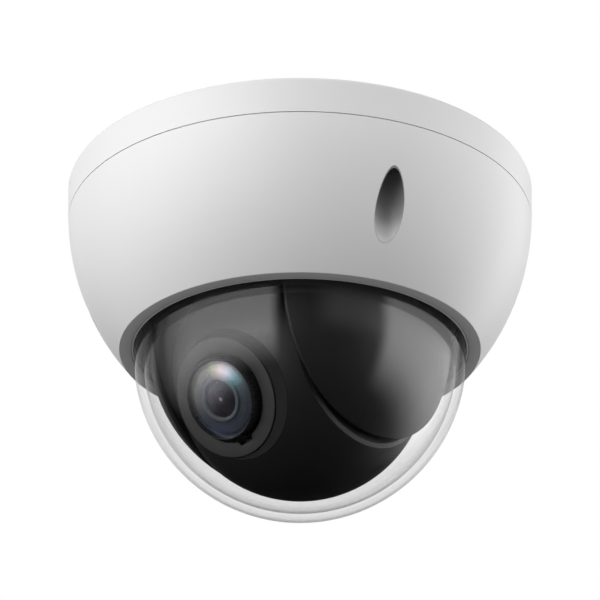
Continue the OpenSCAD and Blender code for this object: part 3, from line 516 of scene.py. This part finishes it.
def addTrim(values):
    inner, outer, thick = values["inner"], values["outer"], values["thick"]
    gap, wide, deep = inner + values["lip"], values["groove"], values["grooveDeep"]
    mesh = turn([(inner, thick), (inner, 0), (gap, 0), (gap, deep), (gap + wide, deep), (gap + wide, 0),
                 (outer, 0), (outer, thick)], values["steps"])
    soften(mesh, values["edge"])
    low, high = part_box("trim_ring")
    addPiece("trimRing", mesh, Matrix.Translation((0, 0, low[2])), paintTrim(values), "housing", "trim",
             "trim_ring")


addTrim(trimValues)
print("trim ring made")


lensAxis = Vector(jointNamed("zoom")["axis"])
lensPlace = turnedFrame(middleOf("lens_bezel"), lensAxis, jointNamed("tilt")["axis"])

# the ball is satin, and its flat front and sides are left matt, with painted shade: a darker black standing in for
# shade on them
headValues = {
    "satin": (0.02, 0.02, 0.0205), "paintedShadeBlack": (0.005, 0.005, 0.0052), "roughness": 0.42, "mattRoughness": 0.75,
    "front": 0.0004, "side": 0.0211,  # metres from the bezel's middle plane and from the tilt joint
    "speck": 0.0015, "spread": 0.1, "relief": 0.05, "reliefDepth": 0.00005,
}


def dressHead(values):
    material, shop = startMaterial("headBlack")
    tilt = jointNamed("tilt")
    fromTilt = shop.vector("SUBTRACT", shop.spot(), tilt["pos_m"])
    fromLens = shop.vector("SUBTRACT", shop.spot(), lensPlace.translation)
    aside = shop.maths("ABSOLUTE", shop.dot(fromTilt, tilt["axis"]))
    flat = shop.maths("MAXIMUM", shop.maths("GREATER_THAN", aside, values["side"]),
                      shop.maths("GREATER_THAN", shop.dot(fromLens, lensAxis), values["front"]))
    speck = shop.grain(values["speck"])
    rougher = flat * (values["mattRoughness"] - values["roughness"])
    # painted shade: the flat front and sides get a darker black than the rest of the ball
    shop.finish(shop.surface(Base_Color=shop.mixColours(flat, rgb(*values["satin"]), rgb(*values["paintedShadeBlack"])),
                             Roughness=shop.around(speck, values["roughness"], values["spread"]) + rougher,
                             Normal=shop.bump(speck, values["relief"], values["reliefDepth"])))
    dress(material, "head_shell", "head_cap")


dressHead(headValues)


plasticValues = {"fleck": 0.0004, "patch": 0.006, "darker": 0.88, "lighter": 1.1, "spread": 0.12, "relief": 0.15}


def paintPlastic(name, colour, roughness, reliefDepth):
    values = plasticValues
    material, shop = startMaterial(name)
    fleck = shop.grain(values["fleck"])
    shade = shop.mottle(shop.grain(values["patch"]), colour, values["darker"], values["lighter"])
    shop.finish(shop.surface(Base_Color=shade, Roughness=shop.around(fleck, roughness, values["spread"]),
                             Normal=shop.bump(fleck, values["relief"], reliefDepth)))
    return material


# grey ring round the lens
bezelValues = {
    "outer": 0.01515, "inner": 0.01135, "half": 0.0008, "edge": 0.00016, "steps": 180,
    # the notch in the opening's edge: middle, half width in degrees and depth
    "notch": (-82.5, 11, 0.0011),
    "colour": (0.038, 0.038, 0.04), "roughness": 0.5, "reliefDepth": 0.00003,
}


def addBezel(values):
    inner, outer, half = values["inner"], values["outer"], values["half"]
    mesh = turn([(inner, -half), (outer, -half), (outer, half), (inner, half)], values["steps"])
    middle, spread, deep = values["notch"]
    for corner in mesh.verts:
        angle = math.degrees(math.atan2(corner.co.y, corner.co.x))
        if corner.co.xy.length < (inner + outer) / 2 and abs(angle - middle) < spread:
            corner.co.xy *= 1 + deep / inner
    soften(mesh, values["edge"])
    material = paintPlastic("bezelPlastic", values["colour"], values["roughness"], values["reliefDepth"])
    addPiece("lensBezel", mesh, lensPlace, material, "head", "bezel", "lens_bezel")


addBezel(bezelValues)


# outlines are radius and height in mm from the bezel's middle plane, and edges are in metres
barrelValues = {
    "lensBarrel": {
        "outline": [(5.25, -2.4), (11.2, -2.4), (11.2, -1.2), (10.45, -1.2), (10.45, 2.6), (10.1, 3.2), (9.93, 3.2),
                    (9.93, 1.4), (9.3, 1.4), (9.3, -0.42), (5.25, -0.42)],
        "edge": 0.00012, "steps": 144, "standsFor": ["lens_barrel"],
        "finish": "barrelBlack", "colour": (0.02, 0.02, 0.021), "roughness": 0.28, "reliefDepth": 0.00001,
    },
    "lensBaffle": {
        "outline": [(4.6, -0.4), (9.28, -0.4), (9.28, 1.38), (8.8, 1.5), (8.7, 1.65), (7.7, 1.9), (7.6, 2.0),
                    (6.7, 2.2), (6.6, 2.3), (5.8, 2.4), (4.6, 2.4)],
        "edge": 0.00004, "steps": 144, "standsFor": [],
        "finish": "baffleGrey", "colour": (0.085, 0.088, 0.092), "roughness": 0.5, "reliefDepth": 0.00001,
    },
    "lensRetainer": {
        "outline": [(4.62, 2.42), (5.75, 2.42), (5.75, 2.9), (5.45, 3.05), (4.75, 2.95)],
        "edge": 0.00012, "steps": 96, "standsFor": [],
        "finish": "retainerGrey", "colour": (0.14, 0.15, 0.155), "roughness": 0.4, "reliefDepth": 0.00001,
    },
}


def addBarrel(values):
    for name, ring in values.items():
        mesh = turn([(radius / 1000, height / 1000) for radius, height in ring["outline"]], ring["steps"])
        soften(mesh, ring["edge"], segments=2)
        material = paintPlastic(ring["finish"], ring["colour"], ring["roughness"], ring["reliefDepth"])
        addPiece(name, mesh, lensPlace, material, "head", "barrel", *ring["standsFor"])


addBarrel(barrelValues)


# rim and top are heights of the glass's side above the bezel's middle plane, and crown is how far it bulges
frontGlassValues = {
    "radius": 0.0099, "rim": 0.0015, "top": 0.0027, "crown": 0.002, "wall": 0.0009, "rings": 24, "steps": 144,
    "through": (0.93, 0.94, 0.96),
    "mirror": [(0, 0.05), (0.5, 0.07), (0.8, 0.3), (1, 0.8)],
    "shine": (0.9, 0.92, 1), "shineRoughness": 0.03, "paintedReflectionRoughness": 0.25,
    # the painted reflection's tint and strength round the glass, painted highlights in place of the coating's coloured
    # reflections, from the tilt axis, 0 at -180 and 1 at 180 degrees
    "paintedReflectionTints": [(0, (0.6, 0.6, 0.6)), (0.12, (0.3, 0.42, 0.7)), (0.26, (0.3, 0.42, 0.8)),
              (0.5, (0.4, 0.75, 0.8)), (0.565, (0.35, 0.85, 0.9)), (0.62, (0.78, 0.85, 1.0)),
              (0.665, (1.0, 0.88, 0.95)), (0.7, (1.0, 0.82, 0.72)), (0.73, (0.95, 0.95, 0.6)), (1, (0.6, 0.6, 0.6))],
    "paintedReflectionStrengths": [(0, 0.1), (0.1, 0.07), (0.19, 0.11), (0.3, 0.05), (0.46, 0.02), (0.53, 0.08), (0.575, 0.4),
                  (0.63, 1), (0.675, 0.9), (0.71, 0.5), (0.76, 0.12), (1, 0.1)],
    # the painted reflection's strength across the radius, 1 at the rim
    "across": [(0, 0), (0.5, 0), (0.62, 0.45), (0.76, 1.0), (0.86, 0.7), (0.97, 0.12), (1, 0)],
}

innerGlassValues = {
    "radius": 0.0046, "rim": 0.0016, "top": 0.0024, "crown": 0.0003, "wall": 0.0004, "rings": 12, "steps": 144,
    "through": (0.55, 0.56, 0.62),
    "mirror": [(0, 0.06), (0.5, 0.1), (1, 0.8)],
    "shine": (0.9, 0.92, 1), "shineRoughness": 0.03, "paintedReflectionRoughness": 0.25,
    # painted glint: a pink painted reflection at the middle of the inner glass, with faint painted rings further out
    "paintedReflectionTints": [(0, (1.0, 0.72, 0.8)), (0.5, (0.95, 0.85, 0.92)), (1, (1.0, 0.72, 0.8))],
    "paintedReflectionStrengths": [(0, 0.5), (0.3, 0.9), (0.6, 0.45), (0.8, 1), (1, 0.5)],
    "across": [(0, 0.9), (0.07, 0.75), (0.13, 0.1), (0.25, 0.16), (0.29, 0.08), (0.55, 0.08), (0.59, 0.14),
               (0.63, 0.08)],
}


def paintGlassWithPaintedReflection(name, values):
    material, shop = startMaterial(name)
    away = shop.vector("SUBTRACT", shop.spot(), lensPlace.translation)
    aside, above = (shop.dot(away, lensPlace.col[axis].xyz) * (1 / values["radius"]) for axis in range(2))
    reach = shop.maths("SQRT", aside * aside + above * above)
    bearing = shop.maths("ARCTAN2", above, aside) * (0.5 / math.pi) + 0.5
    # painted reflection: a coloured layer over the clear glass, set round and across it by the ramps, stands in for
    # the coating's reflections of the light
    paintedReflection = shop.greys(bearing, values["paintedReflectionStrengths"]) * shop.greys(reach, values["across"])
    paintedReflectionLayer = shop.surface(Base_Color=shop.ramp(bearing, values["paintedReflectionTints"]), Roughness=values["paintedReflectionRoughness"])
    body = shop.mixShaders(paintedReflection, shop.clear(values["through"]), paintedReflectionLayer)
    shop.finish(shop.glaze(body, values["mirror"], values["shine"], values["shineRoughness"]))
    return material


def domed(reach, peak, values):
    # a spherical face from its pole to the ring before its edge
    curve = (values["radius"] ** 2 + values["crown"] ** 2) / (2 * values["crown"])
    rings = [reach * step / values["rings"] for step in range(values["rings"])]
    return [(ring, peak - curve + math.sqrt(curve ** 2 - ring ** 2)) for ring in rings]


def addGlass(name, values, slot, node):
    radius, rim, wall = values["radius"], values["rim"], values["wall"]
    peak, inside = values["top"] + values["crown"], radius - wall
    outline = domed(radius, peak, values) + [(radius, values["top"]), (radius, rim), (inside, rim)]
    mesh = turn(outline + domed(inside, peak - wall, values)[::-1], values["steps"])
    addPiece(name, mesh, lensPlace, paintGlassWithPaintedReflection(name + "Coating", values), "head", slot, node)


addGlass("frontGlass", frontGlassValues, "front_glass", "front_glass")
addGlass("innerGlass", innerGlassValues, "inner_glass", "inner_lens")
print("lens made")
